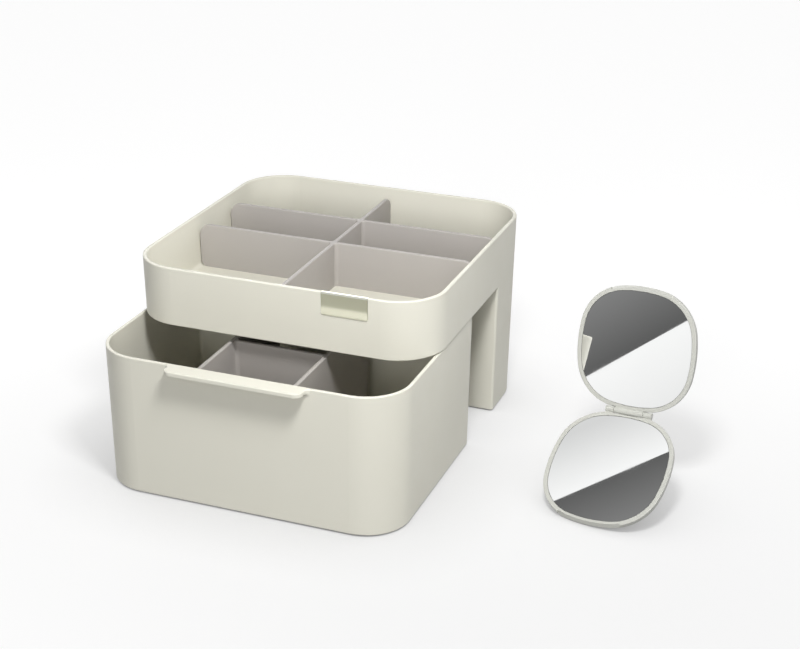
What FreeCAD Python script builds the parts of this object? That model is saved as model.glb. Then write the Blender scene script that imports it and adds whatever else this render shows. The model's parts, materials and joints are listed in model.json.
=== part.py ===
import FreeCAD, Part
import collections
import math
import os

# Two-level make-up organiser with a drawer, and the folding mirror that stands beside it.
# Millimetres. +X is to the right, +Y to the back and +Z up.
# The origin is the middle of the stand's pad, on the table.

# Organiser body
body_width = 200.0  # across the rim
body_depth = 197.0  # front to back at the rim
body_height = 129.9  # table to rim
body_corner = 31.2  # plan radius at the rim
body_wall = 2.5
body_draft = 1.0  # degrees, the walls draw in downwards
skirt_height = 38.1  # rim to the tray's lower edge
tray_floor = 2.5
stand_depth = 61.4  # tray's back edge to the stand's front face, at the rim
stand_edge_round = 1.6  # upright front edges of the stand
stand_floor = 2.5
well_front_corner = 6.0
moulded_fillet = 3.0  # inside floors
rim_round = 0.8
edge_round = 0.7  # lower edges of the mouldings

# Stand pad
pad_thickness = 1.5
pad_seat = 0.5  # how deep the pad sits in the stand
pad_width = 170.0
pad_depth = 40.0
pad_corner = 14.0
pad_clearance = 0.3

# Badge on the rim
badge_width = 29.6
badge_height = 14.5
badge_centre = 46.5  # to the right of the middle
badge_sheet = 0.6  # seated in the wall
badge_proud = 0.4  # standing out of it in front
badge_inner_leg = 6.0
badge_corner = 1.2
badge_clearance = 0.2

# Tray divider
divider_wall = 2.6
divider_drop = 5.8  # its top below the rim
divider_gap = 0.5  # to the walls round it
front_cross = 94.5  # rim's front to the front cross wall
divider_junction = 2.5  # fillets where walls meet
divider_shoulder = 8.0  # rounded top corners of wall ends
divider_top_round = 0.7
tongue_depth = 30.0  # middle wall's reach into the well
hook_depth = 12.0  # rear cross wall's reach into the well
hook_inset = 12.0  # hook's ends from the ends of the cross wall

# Drawer
drawer_side_inset = 0.85  # from the tray's lower edge, each side
drawer_top_gap = 0.6
drawer_rear_gap = 0.5  # to the stand when shut
drawer_proud = 4.2  # its front ahead of the tray's when shut
drawer_open = 46.6  # pulled out this far at rest
drawer_wall = 2.3
drawer_floor = 2.3
drawer_draft = 0.75  # degrees
drawer_front_corner = 28.8
drawer_back_corner = 5.0
drawer_rim_round = 0.7

# Pull lip on the drawer
lip_width = 88.0
lip_reach = 9.3
lip_thickness = 2.7
lip_corner = 5.0
lip_edge_round = 0.3
lip_root_round = 3.0  # where its ends meet the drawer's front

# Drawer divider
drawer_divider_drop = 5.7  # its top below the drawer's rim
drawer_divider_spread = 62.6  # between the two long walls
drawer_cross = 61.4  # drawer's front to the cross wall
drawer_cross_drop = 1.3  # cross wall's top below the long walls'
drawer_divider_back_gap = 12.5  # long walls stop short of the drawer's back

# Drawer glides
glide_diameter = 12.0
glide_height = 1.5
glide_seat = 0.5
glide_inset = 30.0  # from the drawer's sides and ends
glide_clearance = 0.3

# Mirror leaves
leaf_half = 38.5  # half of the leaf's width
leaf_side_radius = 80.0  # bowed sides
leaf_corner_radius = 29.0
leaf_thickness = 4.4
leaf_back_round = 2.0
leaf_rim = 2.7  # ring round the glass
leaf_rim_round = 0.4
leaf_gap = 0.4  # between the two rims when shut
glass_thickness = 1.3
glass_sunk = 0.3  # glass below the rim
glass_clearance = 0.25
adhesive_thickness = 0.4
adhesive_inset = 3.0

# Thumb chamfer on the front edge of both leaves
thumb_width = 40.0
thumb_reach = 1.2  # across the rim
thumb_depth = 2.4  # down the edge

# Mirror hinge
hinge_offset = 0.9  # axis ahead of the leaf's edge
hinge_length = 30.0
hinge_outer_length = 5.5
hinge_gap = 0.3
barrel_radius = 1.9
barrel_clearance = 0.4
pin_radius = 0.8
pin_clearance = 0.05
web_reach = 5.0

# Where the mirror stands
mirror_right = 104.5  # organiser's rim to the middle of the hinge
mirror_back = 73.7  # tray's front to the middle of the hinge
mirror_turn = -9.97  # degrees about the upright
mirror_lean = -3.65  # degrees, the hinge rises to the right
base_slope = 35.7  # degrees, base leaf down from level
lid_slope = 76.5  # degrees, lid up from level

# Worked out
half_width = body_width / 2
back_y = stand_depth / 2
front_y = back_y - body_depth
stand_front_y = back_y - stand_depth
tray_under_z = body_height - skirt_height
tray_floor_z = tray_under_z + tray_floor
body_low_z = pad_thickness - pad_seat
well_floor_z = body_low_z + stand_floor
body_slope = math.tan(math.radians(body_draft))
drawer_slope = math.tan(math.radians(drawer_draft))
drawer_low_z = glide_height - glide_seat
drawer_rim_z = tray_under_z - drawer_top_gap
drawer_floor_z = drawer_low_z + drawer_floor
drawer_half = half_width - skirt_height * body_slope - drawer_side_inset
drawer_shut_front = front_y - drawer_proud
drawer_front_y = drawer_shut_front - drawer_open
drawer_back_y = stand_front_y - drawer_rear_gap - drawer_open
divider_top_z = body_height - divider_drop
drawer_divider_top_z = drawer_rim_z - drawer_divider_drop
drawer_cross_top_z = drawer_divider_top_z - drawer_cross_drop
rim_face_z = -leaf_gap / 2
glass_face_z = rim_face_z - glass_sunk
pocket_floor_z = glass_face_z - glass_thickness - adhesive_thickness
leaf_centre = leaf_half + hinge_offset
margin = 10.0  # how far cutting tools run past the material
same = 1e-3  # closer than this counts as the same place

Plan = collections.namedtuple("Plan", "half front back front_radius back_radius")
body_plan = Plan(half_width, front_y, back_y, body_corner, body_corner)
inner_plan = Plan(
    half_width - body_wall,
    front_y + body_wall,
    back_y - body_wall,
    body_corner - body_wall,
    body_corner - body_wall,
)
well_plan = inner_plan._replace(front=stand_front_y + body_wall, front_radius=well_front_corner)
drawer_plan = Plan(drawer_half, drawer_front_y, drawer_back_y, drawer_front_corner, drawer_back_corner)


def inset(plan, amount):
    return Plan(
        plan.half - amount,
        plan.front + amount,
        plan.back - amount,
        plan.front_radius - amount,
        plan.back_radius - amount,
    )


drawer_inner_plan = inset(drawer_plan, drawer_wall)


def arc(centre_x, centre_y, radius, start, end, z):
    def point(angle):
        turn = math.radians(angle)
        return FreeCAD.Vector(centre_x + radius * math.cos(turn), centre_y + radius * math.sin(turn), z)

    return Part.Arc(point(start), point((start + end) / 2), point(end)).toShape()


# Rounded rectangle at one height, its corners joined by straight edges.
def plan_wire(plan, z):
    corners = [
        (plan.half, plan.front, plan.front_radius, -1, 1, 270),
        (plan.half, plan.back, plan.back_radius, -1, -1, 0),
        (-plan.half, plan.back, plan.back_radius, 1, -1, 90),
        (-plan.half, plan.front, plan.front_radius, 1, 1, 180),
    ]
    arcs = []
    for x, y, radius, side_x, side_y, start in corners:
        arcs.append(arc(x + side_x * radius, y + side_y * radius, radius, start, start + 90, z))
    edges = []
    for index, piece in enumerate(arcs):
        following = arcs[(index + 1) % len(arcs)]
        edges.append(piece)
        edges.append(Part.LineSegment(piece.lastVertex().Point, following.firstVertex().Point).toShape())
    return Part.Wire(edges)


# Solid whose walls draw in below the rim by the draft.
def drafted(plan, rim_z, slope, low_z, high_z):
    wires = []
    for z in (low_z, high_z):
        wires.append(plan_wire(inset(plan, (rim_z - z) * slope), z))
    return Part.makeLoft(wires, True, True)


def edges_at(shape, z):
    found = []
    for edge in shape.Edges:
        bounds = edge.BoundBox
        if abs(bounds.ZMin - z) < same and abs(bounds.ZMax - z) < same:
            found.append(edge)
    return found


def box(low, high):
    size = FreeCAD.Vector(*high) - FreeCAD.Vector(*low)
    return Part.makeBox(size.x, size.y, size.z, FreeCAD.Vector(*low))


def polygon(points):
    closed = points + points[:1]
    return Part.Face(Part.makePolygon([FreeCAD.Vector(*point) for point in closed]))


# Inside face of a drafted wall at a height, for a wall that stands at the given place at the rim.
def front_inside(plan, rim_z, slope, z):
    return plan.front + (rim_z - z) * slope


def back_inside(plan, rim_z, slope, z):
    return plan.back - (rim_z - z) * slope


def side_inside(plan, rim_z, slope, z):
    return plan.half - (rim_z - z) * slope


# Outer lower edges of the tray, without the line where the stand's front face meets it.
def skirt_edges(shell):
    found = []
    for edge in edges_at(shell, tray_under_z):
        if edge.BoundBox.YMin < stand_front_y - stand_edge_round:
            found.append(edge)
    return found


# Body before the badge's notch is cut.
def body_blank():
    outer = drafted(body_plan, body_height, body_slope, body_low_z, body_height)
    bay_front = front_y - margin
    stand_foot_y = stand_front_y + tray_under_z * body_slope
    bay = polygon(
        [
            (-half_width - margin, bay_front, 0),
            (-half_width - margin, stand_foot_y, 0),
            (-half_width - margin, stand_front_y, tray_under_z),
            (-half_width - margin, bay_front, tray_under_z),
        ]
    ).extrude(FreeCAD.Vector(body_width + 2 * margin, 0, 0))
    shell = outer.cut(bay)
    upright = []
    for edge in shell.Edges:
        bounds = edge.BoundBox
        tall = bounds.ZLength > tray_under_z / 2
        on_front = bounds.YMin > stand_front_y - same and bounds.YMax < stand_foot_y + same
        if tall and on_front:
            upright.append(edge)
    shell = shell.makeFillet(stand_edge_round, upright)
    shell = shell.makeFillet(edge_round, edges_at(shell, body_low_z) + skirt_edges(shell))
    tray = drafted(inner_plan, body_height, body_slope, tray_floor_z, body_height + margin)
    tray = tray.makeFillet(moulded_fillet, edges_at(tray, tray_floor_z))
    well = drafted(well_plan, body_height, body_slope, well_floor_z, tray_floor_z + margin)
    well = well.makeFillet(moulded_fillet, edges_at(well, well_floor_z))
    shell = shell.cut(tray.fuse(well))
    return shell.makeFillet(rim_round, edges_at(shell, body_height))


# Lower edges of a box that run front to back.
def low_corners(window, low_z):
    found = []
    for edge in edges_at(window, low_z):
        if edge.BoundBox.XLength < same:
            found.append(edge)
    return found


# Plate over the rim: the wall's skin between two ends, outside, over the top and a short way inside.
def badge_skin(blank, clearance, proud):
    half = badge_width / 2 + clearance
    low_z = body_height - badge_height - clearance
    leg_z = body_height - badge_inner_leg - clearance
    low_y = front_y - margin
    high_y = front_y + body_wall + margin
    window = box((badge_centre - half, low_y, low_z), (badge_centre + half, high_y, body_height + margin))
    window = window.makeFillet(badge_corner + clearance, low_corners(window, low_z))
    core_low_z = low_z - margin
    core_high_z = body_height - badge_sheet
    outside_low = front_y + (body_height - core_low_z) * body_slope
    outside_high = front_y + badge_sheet * body_slope
    core = polygon(
        [
            (badge_centre - half - margin, outside_low + badge_sheet, core_low_z),
            (badge_centre - half - margin, outside_low + body_wall - badge_sheet, core_low_z),
            (badge_centre - half - margin, outside_high + body_wall - badge_sheet, core_high_z),
            (badge_centre - half - margin, outside_high + badge_sheet, core_high_z),
        ]
    ).extrude(FreeCAD.Vector(2 * (half + margin), 0, 0))
    mid_y = front_y + body_wall / 2 + badge_height * body_slope
    below_leg = box(
        (badge_centre - half - margin, mid_y, core_low_z),
        (badge_centre + half + margin, high_y + margin, leg_z),
    )
    skin = blank.common(window)
    if proud:
        ahead = skin.copy()
        ahead.translate(FreeCAD.Vector(0, -proud, 0))
        skin = skin.fuse(ahead).removeSplitter()
    return skin.cut(core).cut(below_leg)


def pad_plan(clearance):
    half = pad_width / 2 + clearance
    reach = pad_depth / 2 + clearance
    radius = pad_corner + clearance
    return Plan(half, -reach, reach, radius, radius)


def flat_solid(plan, low_z, high_z):
    return drafted(plan, high_z, 0.0, low_z, high_z)


def make_body(blank):
    seat = flat_solid(pad_plan(pad_clearance), 0.0, pad_thickness)
    return blank.cut(badge_skin(blank, badge_clearance, 0.0)).cut(seat)


def make_pad():
    return flat_solid(pad_plan(0.0), 0.0, pad_thickness)


# Upright wall between two drafted walls: chamfered over their floor fillets, rounded at its shoulders.
def wall_profile(place, ends, low_z, top_z):
    low_start, low_end = ends(low_z)
    foot_start, foot_end = ends(low_z + moulded_fillet)
    top_start, top_end = ends(top_z)
    points = [
        place(low_start + moulded_fillet, low_z),
        place(low_end - moulded_fillet, low_z),
        place(foot_end, low_z + moulded_fillet),
        place(top_end, top_z),
        place(top_start, top_z),
        place(foot_start, low_z + moulded_fillet),
    ]
    return points


def lengthwise_wall(x, thickness, ends, low_z, top_z, shoulder):
    def place(along, z):
        return (x - thickness / 2, along, z)

    wall = polygon(wall_profile(place, ends, low_z, top_z)).extrude(FreeCAD.Vector(thickness, 0, 0))
    corners = []
    for edge in wall.Edges:
        bounds = edge.BoundBox
        if bounds.XLength > thickness / 2 and bounds.ZMin > top_z - same and bounds.YLength < same:
            corners.append(edge)
    return wall.makeFillet(shoulder, corners)


def crosswise_wall(y, thickness, ends, low_z, top_z, shoulder):
    def place(along, z):
        return (along, y - thickness / 2, z)

    wall = polygon(wall_profile(place, ends, low_z, top_z)).extrude(FreeCAD.Vector(0, thickness, 0))
    corners = []
    for edge in wall.Edges:
        bounds = edge.BoundBox
        if bounds.YLength > thickness / 2 and bounds.ZMin > top_z - same and bounds.XLength < same:
            corners.append(edge)
    return wall.makeFillet(shoulder, corners)


# Upright edges where two walls of a divider meet.
def junction_edges(shape, meetings, thickness):
    reach = thickness / 2 + same
    found = []
    for edge in shape.Edges:
        bounds = edge.BoundBox
        if bounds.XLength > same or bounds.YLength > same:
            continue
        for x, y in meetings:
            if abs(bounds.XMin - x) < reach and abs(bounds.YMin - y) < reach:
                found.append(edge)
    return found


def make_tray_divider():
    def lengthwise(z):
        front = front_inside(inner_plan, body_height, body_slope, z) + divider_gap
        back = back_inside(inner_plan, body_height, body_slope, z) - divider_gap
        return front, back

    def crosswise(z):
        half = side_inside(inner_plan, body_height, body_slope, z) - divider_gap
        return -half, half

    front_cross_y = front_y + front_cross
    hook_front_y = front_inside(well_plan, body_height, body_slope, tray_floor_z - hook_depth) + divider_gap
    rear_cross_y = hook_front_y + divider_wall / 2
    middle = lengthwise_wall(0.0, divider_wall, lengthwise, tray_floor_z, divider_top_z, divider_shoulder)
    front = crosswise_wall(
        front_cross_y, divider_wall, crosswise, tray_floor_z, divider_top_z, divider_shoulder
    )
    rear = crosswise_wall(
        rear_cross_y, divider_wall, crosswise, tray_floor_z, divider_top_z, divider_shoulder
    )
    hook_half = crosswise(tray_floor_z)[1] - hook_inset
    hook = box(
        (-hook_half, rear_cross_y - divider_wall / 2, tray_floor_z - hook_depth),
        (hook_half, rear_cross_y + divider_wall / 2, tray_floor_z + moulded_fillet),
    )
    tongue_low_z = tray_floor_z - tongue_depth
    tongue_back = back_inside(inner_plan, body_height, body_slope, tongue_low_z) - divider_gap
    overlap_back = lengthwise(tray_floor_z + moulded_fillet)[1]
    tongue_front = rear_cross_y + divider_wall / 2
    tongue = polygon(
        [
            (-divider_wall / 2, tongue_front, tray_floor_z + moulded_fillet),
            (-divider_wall / 2, tongue_front, tray_floor_z - hook_depth),
            (-divider_wall / 2, tongue_front + hook_depth, tongue_low_z),
            (-divider_wall / 2, tongue_back, tongue_low_z),
            (-divider_wall / 2, overlap_back, tray_floor_z + moulded_fillet),
        ]
    ).extrude(FreeCAD.Vector(divider_wall, 0, 0))
    shape = middle.multiFuse([front, rear, hook, tongue]).removeSplitter()
    meetings = [(0.0, front_cross_y), (0.0, rear_cross_y)]
    shape = shape.makeFillet(divider_junction, junction_edges(shape, meetings, divider_wall))
    return shape.makeFillet(divider_top_round, edges_at(shape, divider_top_z))


def glide_places():
    places = {}
    half = drawer_half - glide_inset
    front = drawer_front_y + glide_inset
    back = drawer_back_y - glide_inset
    for end, y in (("front", front), ("back", back)):
        for side, x in (("left", -half), ("right", half)):
            places["drawer_glide_" + end + "_" + side] = (x, y)
    return places


def glide(place, clearance):
    radius = glide_diameter / 2 + clearance
    return Part.makeCylinder(radius, glide_height, FreeCAD.Vector(place[0], place[1], 0))


def make_lip():
    plate = Plan(
        lip_width / 2,
        drawer_front_y - lip_reach,
        drawer_front_y + drawer_wall / 2,
        lip_corner,
        lip_edge_round,
    )
    lip_low_z = drawer_rim_z - lip_thickness
    lip = flat_solid(plate, lip_low_z, drawer_rim_z)
    return lip.makeFillet(lip_edge_round, edges_at(lip, lip_low_z))


# Short upright edges where the ends of the lip meet the drawer's front.
def lip_root_edges(shape):
    found = []
    for edge in shape.Edges:
        bounds = edge.BoundBox
        at_end = abs(abs(bounds.XMin) - lip_width / 2) < same and bounds.XLength < same
        at_front = bounds.YMin > drawer_front_y - same
        if at_end and at_front and bounds.ZLength > lip_thickness / 2:
            found.append(edge)
    return found


def make_drawer():
    outer = drafted(drawer_plan, drawer_rim_z, drawer_slope, drawer_low_z, drawer_rim_z)
    outer = outer.makeFillet(edge_round, edges_at(outer, drawer_low_z))
    outer = outer.fuse(make_lip()).removeSplitter()
    outer = outer.makeFillet(lip_root_round, lip_root_edges(outer))
    inner = drafted(drawer_inner_plan, drawer_rim_z, drawer_slope, drawer_floor_z, drawer_rim_z + margin)
    inner = inner.makeFillet(moulded_fillet, edges_at(inner, drawer_floor_z))
    shape = outer.cut(inner)
    shape = shape.makeFillet(drawer_rim_round, edges_at(shape, drawer_rim_z))
    for place in glide_places().values():
        shape = shape.cut(glide(place, glide_clearance))
    return shape


def make_drawer_divider():
    def lengthwise(z):
        front = front_inside(drawer_inner_plan, drawer_rim_z, drawer_slope, z) + divider_gap
        back = back_inside(drawer_inner_plan, drawer_rim_z, drawer_slope, z) - drawer_divider_back_gap
        return front, back

    spread = drawer_divider_spread / 2
    cross_y = drawer_front_y + drawer_cross
    walls = []
    for x in (-spread, spread):
        wall = lengthwise_wall(
            x, divider_wall, lengthwise, drawer_floor_z, drawer_divider_top_z, divider_shoulder
        )
        walls.append(wall.makeFillet(divider_top_round, edges_at(wall, drawer_divider_top_z)))
    cross = box(
        (-spread, cross_y - divider_wall / 2, drawer_floor_z),
        (spread, cross_y + divider_wall / 2, drawer_cross_top_z),
    )
    long_edges = [edge for edge in edges_at(cross, drawer_cross_top_z) if edge.BoundBox.YLength < same]
    walls.append(cross.makeFillet(divider_top_round, long_edges))
    shape = walls[0].multiFuse(walls[1:]).removeSplitter()
    meetings = [(-spread, cross_y), (spread, cross_y)]
    return shape.makeFillet(divider_junction, junction_edges(shape, meetings, divider_wall))


# Bowed square of eight tangent arcs, drawn in by the inset.
def leaf_wire(inset_by, z):
    half = leaf_half - inset_by
    side = leaf_side_radius - inset_by
    corner = leaf_corner_radius - inset_by
    back_off = half - side
    corner_at = (back_off + math.sqrt(2 * (side - corner) ** 2 - back_off**2)) / 2
    swing = math.degrees(math.atan2(corner_at, corner_at - back_off))
    edges = []
    for quarter in range(4):
        turn = 90 * quarter
        cos = round(math.cos(math.radians(turn)))
        sin = round(math.sin(math.radians(turn)))
        edges.append(arc(back_off * cos, leaf_centre + back_off * sin, side, turn - swing, turn + swing, z))
        corner_x = corner_at * (cos - sin)
        corner_y = leaf_centre + corner_at * (cos + sin)
        edges.append(arc(corner_x, corner_y, corner, turn + swing, turn + 90 - swing, z))
    return Part.Wire(edges)


def leaf_solid(inset_by, low_z, high_z):
    face = Part.Face(leaf_wire(inset_by, low_z))
    return face.extrude(FreeCAD.Vector(0, 0, high_z - low_z))


def along_hinge(radius, start, end):
    return Part.makeCylinder(radius, end - start, FreeCAD.Vector(start, 0, 0), FreeCAD.Vector(1, 0, 0))


# Leaf with its glass side up, the hinge on the X axis and the leaf on the +Y side of it.
def leaf_shell(own_spans, other_spans):
    back_z = rim_face_z - leaf_thickness
    shell = leaf_solid(0.0, back_z, rim_face_z)
    shell = shell.makeFillet(leaf_back_round, edges_at(shell, back_z))
    shell = shell.makeFillet(leaf_rim_round, edges_at(shell, rim_face_z))
    shell = shell.cut(leaf_solid(leaf_rim, pocket_floor_z, rim_face_z + margin))
    for start, end in other_spans:
        shell = shell.cut(along_hinge(barrel_radius + barrel_clearance, start - hinge_gap, end + hinge_gap))
    for start, end in own_spans:
        web = box((start, 0, -barrel_radius), (end, web_reach, rim_face_z))
        web = web.cut(leaf_solid(leaf_rim, pocket_floor_z, rim_face_z + margin))
        shell = shell.fuse(along_hinge(barrel_radius, start, end).fuse(web))
    half = hinge_length / 2
    return shell.cut(along_hinge(pin_radius + pin_clearance, -half, half)).removeSplitter()


# Wedge that chamfers the front edge of a leaf; its slope runs on past the edge and the rim.
def thumb_wedge():
    low_z = rim_face_z - 2 * thumb_depth
    high_z = rim_face_z + thumb_depth
    window = box(
        (-thumb_width / 2, leaf_centre, low_z),
        (thumb_width / 2, leaf_centre + leaf_half + margin, high_z),
    )
    kept = Part.makeLoft([leaf_wire(-thumb_reach, low_z), leaf_wire(2 * thumb_reach, high_z)], True, True)
    return window.cut(kept)


def make_leaves():
    half = hinge_length / 2
    middle = half - hinge_outer_length
    outer_spans = [(-half, -middle - hinge_gap / 2), (middle + hinge_gap / 2, half)]
    middle_spans = [(-middle + hinge_gap / 2, middle - hinge_gap / 2)]
    wedge = thumb_wedge()
    base = leaf_shell(outer_spans, middle_spans).cut(wedge)
    lid = leaf_shell(middle_spans, outer_spans).cut(wedge)
    return base, lid


# Turns a leaf from its own frame to where it stands, about the hinge.
def leaf_placement(slope, faces_back):
    turn = FreeCAD.Rotation(FreeCAD.Vector(0, 0, 1), mirror_turn)
    lean = FreeCAD.Rotation(FreeCAD.Vector(0, 1, 0), mirror_lean)
    tilt = FreeCAD.Rotation(FreeCAD.Vector(1, 0, 0), slope)
    flip = FreeCAD.Rotation(FreeCAD.Vector(0, 0, 1), 180 if faces_back else 0)
    return FreeCAD.Placement(FreeCAD.Vector(0, 0, 0), turn * lean * flip * tilt)


def make_mirror():
    base, lid = make_leaves()
    glass = leaf_solid(leaf_rim + glass_clearance, glass_face_z - glass_thickness, glass_face_z)
    adhesive = leaf_solid(leaf_rim + adhesive_inset, pocket_floor_z, pocket_floor_z + adhesive_thickness)
    half = hinge_length / 2
    pin = along_hinge(pin_radius, -half, half)
    base_turn = leaf_placement(-base_slope, True)
    lid_turn = leaf_placement(lid_slope, False)
    pieces = {
        "mirror_base": base.transformed(base_turn.toMatrix()),
        "mirror_base_glass": glass.transformed(base_turn.toMatrix()),
        "mirror_base_adhesive": adhesive.transformed(base_turn.toMatrix()),
        "mirror_hinge_pin": pin.transformed(base_turn.toMatrix()),
        "mirror_lid": lid.transformed(lid_turn.toMatrix()),
        "mirror_lid_glass": glass.transformed(lid_turn.toMatrix()),
        "mirror_lid_adhesive": adhesive.transformed(lid_turn.toMatrix()),
    }
    lowest = pieces["mirror_base"].optimalBoundingBox(False, False).ZMin
    hinge = FreeCAD.Vector(half_width + mirror_right, front_y + mirror_back, -lowest)
    print("mirror hinge", [round(value, 4) for value in hinge])
    print("hinge axis", [round(value, 6) for value in lid_turn.Rotation.multVec(FreeCAD.Vector(1, 0, 0))])
    for name in pieces:
        pieces[name].translate(hinge)
    return pieces


def main():
    os.makedirs("parts", exist_ok=True)
    blank = body_blank()
    pieces = {
        "organiser_body": make_body(blank),
        "badge": badge_skin(blank, 0.0, badge_proud),
        "stand_pad": make_pad(),
        "tray_divider": make_tray_divider(),
        "drawer": make_drawer(),
        "drawer_divider": make_drawer_divider(),
    }
    for name, place in glide_places().items():
        pieces[name] = glide(place, 0.0)
    pieces.update(make_mirror())
    for name, shape in pieces.items():
        solid = shape.Solids[0]
        print(name, len(shape.Solids), shape.isValid(), round(solid.Volume, 1))
        solid.exportStep(os.path.join("parts", name + ".step"))


main()
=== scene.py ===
import json
import math
import bmesh
import bpy
from mathutils import Matrix, Vector

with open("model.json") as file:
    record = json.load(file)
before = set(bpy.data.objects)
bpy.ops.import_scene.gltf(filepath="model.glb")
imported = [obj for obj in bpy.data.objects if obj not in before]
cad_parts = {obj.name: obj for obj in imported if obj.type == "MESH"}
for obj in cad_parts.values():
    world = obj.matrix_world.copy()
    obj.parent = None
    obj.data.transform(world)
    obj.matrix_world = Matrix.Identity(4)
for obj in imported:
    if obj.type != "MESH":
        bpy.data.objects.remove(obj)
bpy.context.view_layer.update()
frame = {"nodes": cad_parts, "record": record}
nodes = frame["nodes"]
scene = bpy.context.scene
print("frame loaded:", len(nodes), "nodes")


# node tree helpers
def addNode(tree, kind, settings=None, values=None):
    node = tree.nodes.new(kind)
    for key, value in (settings or {}).items():
        setattr(node, key, value)
    for key, value in (values or {}).items():
        node.inputs[key].default_value = value
    return node


def opaque(colour):
    return (*colour, 1.0)


def objectPoint(tree, stretch=(1.0, 1.0, 1.0)):
    place = addNode(tree, "ShaderNodeTexCoord")
    mapping = addNode(tree, "ShaderNodeMapping", None, {"Scale": stretch})
    tree.links.new(place.outputs["Object"], mapping.inputs["Vector"])
    return mapping.outputs["Vector"]


def noiseAt(tree, point, scale, detail, rough=0.5):
    values = {"Scale": scale, "Detail": detail, "Roughness": rough}
    noise = addNode(tree, "ShaderNodeTexNoise", None, values)
    tree.links.new(point, noise.inputs["Vector"])
    return noise.outputs["Fac"]


def ramp(tree, source, fromSpan, toSpan, interpolation="LINEAR"):
    limits = {
        "From Min": fromSpan[0],
        "From Max": fromSpan[1],
        "To Min": toSpan[0],
        "To Max": toSpan[1],
    }
    ranged = addNode(tree, "ShaderNodeMapRange", {"interpolation_type": interpolation}, limits)
    tree.links.new(source, ranged.inputs["Value"])
    return ranged.outputs["Result"]


def joinMath(tree, operation, first, second):
    node = addNode(tree, "ShaderNodeMath", {"operation": operation})
    for socket, source in zip(node.inputs, (first, second)):
        if isinstance(source, bpy.types.NodeSocket):
            tree.links.new(source, socket)
        else:
            socket.default_value = source
    return node.outputs[0]


def blendColours(tree, factor, first, second):
    mix = addNode(tree, "ShaderNodeMix", {"data_type": "RGBA"})
    mix.inputs["A"].default_value = opaque(first)
    mix.inputs["B"].default_value = opaque(second)
    tree.links.new(factor, mix.inputs["Factor"])
    return mix.outputs["Result"]


def bumpFrom(tree, height, look):
    values = {"Strength": look["grainStrength"], "Distance": look["grainDepth"]}
    bump = addNode(tree, "ShaderNodeBump", None, values)
    tree.links.new(height, bump.inputs["Height"])
    return bump.outputs["Normal"]


def shadedMaterial(name):
    material = bpy.data.materials.new(name)
    material.use_nodes = True
    tree = material.node_tree
    return material, tree, tree.nodes["Principled BSDF"]


def emptyMaterial(name):
    material = bpy.data.materials.new(name)
    material.use_nodes = True
    material.node_tree.nodes.clear()
    return material, material.node_tree


noiseSpan = (0.3, 0.7)  # the middle of the noise, where most of its values lie


# moulded plastic, rubber and foam: fine grain, faint clouding of the pigment, gloss that wanders a little
mouldLook = {
    "cloudDetail": 3.0,
    "glossDetail": 2.0,
    "grainDetail": 2.0,
    "grainRough": 0.6,
    "ior": 1.46,
}


def mouldedPlastic(look):
    material, tree, shader = shadedMaterial(look["name"])
    point = objectPoint(tree)
    cloud = noiseAt(tree, point, look["cloudScale"], mouldLook["cloudDetail"])
    tint = blendColours(tree, cloud, look["colour"], look["cloudColour"])
    tree.links.new(tint, shader.inputs["Base Color"])
    gloss = noiseAt(tree, point, look["glossScale"], mouldLook["glossDetail"])
    tree.links.new(ramp(tree, gloss, noiseSpan, look["roughness"]), shader.inputs["Roughness"])
    grain = noiseAt(tree, point, look["grainScale"], mouldLook["grainDetail"], mouldLook["grainRough"])
    tree.links.new(bumpFrom(tree, grain, look), shader.inputs["Normal"])
    shader.inputs["IOR"].default_value = mouldLook["ior"]
    return material


creamLook = {
    "name": "creamPlastic",
    "colour": (0.715, 0.700, 0.610),
    "cloudColour": (0.735, 0.720, 0.632),
    "cloudScale": 26.0,
    "roughness": (0.44, 0.54),
    "glossScale": 60.0,
    "grainScale": 2600.0,
    "grainStrength": 0.16,
    "grainDepth": 0.0002,
}
greyLook = {
    "name": "greyInsertPlastic",
    "colour": (0.406, 0.382, 0.361),
    "cloudColour": (0.428, 0.404, 0.383),
    "cloudScale": 30.0,
    "roughness": (0.44, 0.56),
    "glossScale": 70.0,
    "grainScale": 2200.0,
    "grainStrength": 0.22,
    "grainDepth": 0.0002,
}
leafLook = {
    "name": "mirrorLeafPlastic",
    "colour": (0.500, 0.503, 0.462),
    "cloudColour": (0.524, 0.526, 0.485),
    "cloudScale": 40.0,
    "roughness": (0.28, 0.38),
    "glossScale": 90.0,
    "grainScale": 3200.0,
    "grainStrength": 0.10,
    "grainDepth": 0.00015,
}
glideLook = {
    "name": "glidePlastic",
    "colour": (0.62, 0.60, 0.55),
    "cloudColour": (0.66, 0.64, 0.59),
    "cloudScale": 120.0,
    "roughness": (0.30, 0.42),
    "glossScale": 200.0,
    "grainScale": 3000.0,
    "grainStrength": 0.12,
    "grainDepth": 0.00015,
}
padLook = {
    "name": "padRubber",
    "colour": (0.36, 0.35, 0.32),
    "cloudColour": (0.42, 0.41, 0.38),
    "cloudScale": 80.0,
    "roughness": (0.72, 0.86),
    "glossScale": 120.0,
    "grainScale": 1400.0,
    "grainStrength": 0.35,
    "grainDepth": 0.0003,
}
foamLook = {
    "name": "adhesiveFoam",
    "colour": (0.16, 0.16, 0.16),
    "cloudColour": (0.24, 0.24, 0.24),
    "cloudScale": 700.0,
    "roughness": (0.85, 0.95),
    "glossScale": 300.0,
    "grainScale": 1800.0,
    "grainStrength": 0.5,
    "grainDepth": 0.0003,
}


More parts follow.
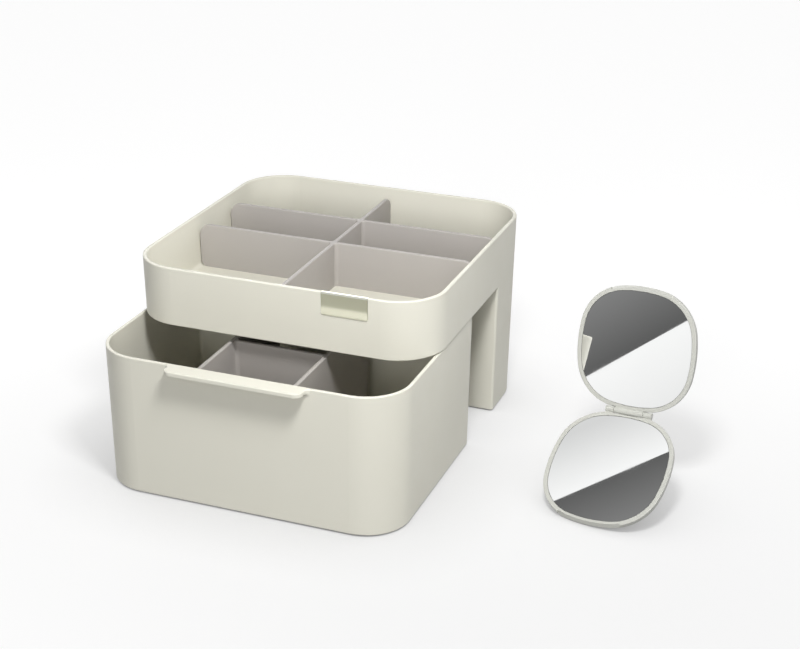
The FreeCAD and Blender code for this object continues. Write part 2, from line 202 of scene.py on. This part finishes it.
# sheet metal with a fine brushed grain along X, and plain drawn steel; stretch gives the grain's scale
badgeLook = {
    "name": "badgeSheetMetal",
    "colour": (0.83, 0.835, 0.755),
    "shade": (0.79, 0.795, 0.715),
    "stretch": (60.0, 4000.0, 4000.0),
    "detail": 4.0,
    "rough": 0.55,
    "roughness": (0.06, 0.11),
    "grainStrength": 0.03,
    "grainDepth": 0.00002,
}
pinLook = {
    "name": "pinSteel",
    "colour": (0.56, 0.56, 0.55),
    "shade": (0.48, 0.48, 0.47),
    "stretch": (600.0, 600.0, 600.0),
    "detail": 4.0,
    "rough": 0.55,
    "roughness": (0.26, 0.38),
    "grainStrength": 0.10,
    "grainDepth": 0.0001,
}


def brushedMetal(look):
    material, tree, shader = shadedMaterial(look["name"])
    grain = noiseAt(tree, objectPoint(tree, look["stretch"]), 1.0, look["detail"], look["rough"])
    tint = blendColours(tree, grain, look["shade"], look["colour"])
    tree.links.new(tint, shader.inputs["Base Color"])
    tree.links.new(ramp(tree, grain, noiseSpan, look["roughness"]), shader.inputs["Roughness"])
    tree.links.new(bumpFrom(tree, grain, look), shader.inputs["Normal"])
    shader.inputs["Metallic"].default_value = 1.0
    return material


# silvered glass, with the very slight unevenness of a thin pressed mirror
glassLook = {
    "name": "silveredGlass",
    "colour": (0.93, 0.935, 0.93),
    "tint": (0.90, 0.91, 0.905),
    "cloudScale": 55.0,
    "cloudDetail": 3.0,
    "roughness": (0.008, 0.022),
}


def silveredGlass(look):
    material, tree, shader = shadedMaterial(look["name"])
    cloud = noiseAt(tree, objectPoint(tree), look["cloudScale"], look["cloudDetail"])
    tint = blendColours(tree, cloud, look["tint"], look["colour"])
    tree.links.new(tint, shader.inputs["Base Color"])
    tree.links.new(ramp(tree, cloud, noiseSpan, look["roughness"]), shader.inputs["Roughness"])
    shader.inputs["Metallic"].default_value = 1.0
    return material


# each CAD node gets the finish of its material slot
finishes = {
    "cream_plastic": mouldedPlastic(creamLook),
    "grey_plastic": mouldedPlastic(greyLook),
    "badge_metal": brushedMetal(badgeLook),
    "pad_rubber": mouldedPlastic(padLook),
    "glide_plastic": mouldedPlastic(glideLook),
    "leaf_plastic": mouldedPlastic(leafLook),
    "mirror_glass": silveredGlass(glassLook),
    "adhesive_foam": mouldedPlastic(foamLook),
    "pin_steel": brushedMetal(pinLook),
}
for subpart in frame["record"]["subparts"]:
    mesh = nodes[subpart["node"]].data
    mesh.materials.clear()
    mesh.materials.append(finishes[subpart["material_slot"]])
print("finishes given:", len(finishes))


# stage helpers
def flatSquare(name, half):
    mesh = bpy.data.meshes.new(name)
    shape = bmesh.new()
    bmesh.ops.create_grid(shape, x_segments=1, y_segments=1, size=half)
    shape.to_mesh(mesh)
    shape.free()
    square = bpy.data.objects.new(name, mesh)
    scene.collection.objects.link(square)
    return square


def turnedTo(xAxis, yAxis, zAxis):
    return Matrix((xAxis, yAxis, zAxis)).transposed().to_4x4()


def lookFrom(direction):
    return Vector(direction).to_track_quat("Z", "Y").to_euler()


def pickSeen(tree, unseen, seen):
    path = addNode(tree, "ShaderNodeLightPath")
    direct = joinMath(tree, "MAXIMUM", path.outputs["Is Camera Ray"], path.outputs["Is Glossy Ray"])
    pick = addNode(tree, "ShaderNodeMixShader")
    tree.links.new(joinMath(tree, "MAXIMUM", direct, path.outputs["Is Transmission Ray"]), pick.inputs[0])
    tree.links.new(unseen, pick.inputs[1])
    tree.links.new(seen, pick.inputs[2])
    return pick.outputs[0]


# pale floor: white to the eye and in mirrors, a modest bounce for the object, and it keeps the shadow;
# its glow is also dimmed by ambient occlusion close to the object, a painted contact shade
floorLook = {
    "size": 12.0,
    "bounce": (0.30, 0.30, 0.30),
    "seenColour": (0.36, 0.36, 0.36),
    "centre": (0.15, -0.29, 0.0),  # the lamps are strongest here, so the glow is weakest
    "glow": (0.49, 0.805),
    "radius": (0.0, 0.62),
    # reach, contrast and samples of the painted contact shade in the floor's glow
    "paintedShadeReach": 0.06,
    "paintedShadePower": 0.5,
    "paintedShadeSamples": 16,
}


def makeFloor(look):
    floor = flatSquare("floor", look["size"] / 2)
    material, tree = emptyMaterial("paleFloor")
    bounce = addNode(tree, "ShaderNodeBsdfDiffuse", None, {"Color": opaque(look["bounce"])})
    seen = addNode(tree, "ShaderNodeBsdfDiffuse", None, {"Color": opaque(look["seenColour"])})
    away = addNode(tree, "ShaderNodeVectorMath", {"operation": "DISTANCE"}, {1: look["centre"]})
    tree.links.new(objectPoint(tree), away.inputs[0])
    even = ramp(tree, away.outputs["Value"], look["radius"], look["glow"], "SMOOTHSTEP")
    # painted contact shade: ambient occlusion darkens the floor's glow where the object stands close
    # above it
    paintedContactShade = addNode(tree, "ShaderNodeAmbientOcclusion", {"samples": look["paintedShadeSamples"]})
    paintedContactShade.inputs["Distance"].default_value = look["paintedShadeReach"]
    paintedShadeFactor = joinMath(tree, "POWER", paintedContactShade.outputs["AO"], look["paintedShadePower"])
    glow = addNode(tree, "ShaderNodeEmission")
    tree.links.new(joinMath(tree, "MULTIPLY", even, paintedShadeFactor), glow.inputs["Strength"])
    both = addNode(tree, "ShaderNodeAddShader")
    tree.links.new(seen.outputs[0], both.inputs[0])
    tree.links.new(glow.outputs[0], both.inputs[1])
    out = addNode(tree, "ShaderNodeOutputMaterial")
    tree.links.new(pickSeen(tree, bounce.outputs[0], both.outputs[0]), out.inputs["Surface"])
    floor.data.materials.append(material)


makeFloor(floorLook)


# reflector cards, seen only in reflections: the mirrors' two have a straight edge between dark and white,
# the badge's one is plain; dark and white run from the edge to fade metres away from it
cardLooks = [
    {
        "name": "lidCard",
        "place": (-0.4147, -1.1103, 0.1159),
        "along": (-0.6313, 0.3609, -0.6865),
        "towardsDark": (-0.5792, 0.3692, 0.7268),
        "half": 0.28,
        "tint": (1.0, 1.0, 1.0),
        "dark": (0.115, 0.235),
        "white": (1.02, 0.90),
        "fade": 0.085,
    },
    {
        "name": "baseCard",
        "place": (-0.1470, -0.2049, 0.7373),
        "along": (0.8131, 0.3813, 0.4399),
        "towardsDark": (0.3825, -0.9196, 0.0902),
        "half": 0.20,
        "tint": (1.0, 1.0, 1.0),
        "dark": (0.120, 0.245),
        "white": (1.02, 0.72),
        "fade": 0.06,
    },
    {
        "name": "badgeCard",
        "place": (-0.05, -0.46, 0.003),
        "along": (1.0, 0.0, 0.0),
        "towardsDark": (0.0, 1.0, 0.0),
        "half": 0.16,
        "tint": (1.0, 0.985, 0.82),
        "dark": (0.50, 0.50),
        "white": (0.50, 0.50),
        "fade": 0.1,
    },
]


def makeCard(look):
    card = flatSquare(look["name"], look["half"])
    along = Vector(look["along"]).normalized()
    across = Vector(look["towardsDark"]).normalized()
    card.matrix_world = turnedTo(along, across, along.cross(across))
    card.location = look["place"]
    card.visible_camera = False
    card.visible_diffuse = False
    card.visible_shadow = False
    card.visible_transmission = False
    material, tree = emptyMaterial(look["name"])
    axes = addNode(tree, "ShaderNodeSeparateXYZ")
    tree.links.new(objectPoint(tree), axes.inputs[0])
    side = axes.outputs["Y"]
    mix = addNode(tree, "ShaderNodeMix")
    tree.links.new(joinMath(tree, "GREATER_THAN", side, 0.0), mix.inputs["Factor"])
    tree.links.new(ramp(tree, side, (0.0, -look["fade"]), look["white"]), mix.inputs["A"])
    tree.links.new(ramp(tree, side, (0.0, look["fade"]), look["dark"]), mix.inputs["B"])
    glow = addNode(tree, "ShaderNodeEmission", None, {"Color": opaque(look["tint"])})
    tree.links.new(mix.outputs["Result"], glow.inputs["Strength"])
    out = addNode(tree, "ShaderNodeOutputMaterial")
    tree.links.new(glow.outputs[0], out.inputs["Surface"])
    card.data.materials.append(material)


for cardLook in cardLooks:
    makeCard(cardLook)
print("floor and cards placed")


# soft light all round, white where it is seen
worldLook = {"colour": (1.0, 1.0, 1.0), "ambient": 0.25, "white": 0.947}


def makeWorld(look):
    world = bpy.data.worlds.new("studio")
    scene.world = world
    world.use_nodes = True
    tree = world.node_tree
    tree.nodes.clear()
    colour = opaque(look["colour"])
    ambient = addNode(tree, "ShaderNodeBackground", None, {"Color": colour, "Strength": look["ambient"]})
    white = addNode(tree, "ShaderNodeBackground", None, {"Color": colour, "Strength": look["white"]})
    out = addNode(tree, "ShaderNodeOutputWorld")
    tree.links.new(pickSeen(tree, ambient.outputs[0], white.outputs[0]), out.inputs["Surface"])


makeWorld(worldLook)


# small softbox close by, above the front right
keyLook = {
    "power": 2.58,
    "size": 0.11,
    "place": (0.205, -0.39, 0.52),
    "aim": (-0.03, -0.15, 0.08),
}


def makeKey(look):
    data = bpy.data.lights.new("key", "AREA")
    data.energy = look["power"]
    data.shape = "SQUARE"
    data.size = look["size"]
    key = bpy.data.objects.new("key", data)
    key.location = look["place"]
    key.rotation_euler = lookFrom(Vector(look["place"]) - Vector(look["aim"]))
    scene.collection.objects.link(key)


makeKey(keyLook)


# broad fills from the front, from the right and from behind; angle is the lamp's spread in degrees
fillLooks = [
    {"name": "frontFill", "strength": 0.97, "angle": 25.0, "from": (0.12, -0.96, 0.24)},
    {"name": "sideFill", "strength": 0.92, "angle": 60.0, "from": (0.85, 0.50, 0.15)},
    {"name": "rearFill", "strength": 1.15, "angle": 60.0, "from": (-0.66, 0.74, 0.11)},
]


def makeFill(look):
    data = bpy.data.lights.new(look["name"], "SUN")
    data.energy = look["strength"]
    data.angle = math.radians(look["angle"])
    fill = bpy.data.objects.new(look["name"], data)
    fill.rotation_euler = lookFrom(look["from"])
    scene.collection.objects.link(fill)


for fillLook in fillLooks:
    makeFill(fillLook)
print("lamps placed")


# camera at the photograph's angle, for an 800 x 649 picture; turn, rise and roll in degrees
cameraLook = {
    "place": (0.38096, -0.96417, 0.48374),
    "turn": 20.5642,
    "rise": 23.2932,
    "roll": 0.5404,
    "lens": 71.805,
    "sensor": 36.0,
}


def makeCamera(look):
    turn = math.radians(look["turn"])
    rise = math.radians(look["rise"])
    roll = math.radians(look["roll"])
    back = Vector((math.sin(turn) * math.cos(rise), -math.cos(turn) * math.cos(rise), math.sin(rise)))
    level = Vector((math.cos(turn), math.sin(turn), 0.0))
    upward = back.cross(level)
    right = level * math.cos(roll) + upward * math.sin(roll)
    up = upward * math.cos(roll) - level * math.sin(roll)
    data = bpy.data.cameras.new("camera")
    data.lens = look["lens"]
    data.sensor_fit = "HORIZONTAL"
    data.sensor_width = look["sensor"]
    camera = bpy.data.objects.new("camera", data)
    camera.matrix_world = turnedTo(right, up, back)
    camera.location = look["place"]
    scene.collection.objects.link(camera)
    return camera


scene.camera = makeCamera(cameraLook)
scene.view_settings.view_transform = "Standard"
print("camera set")
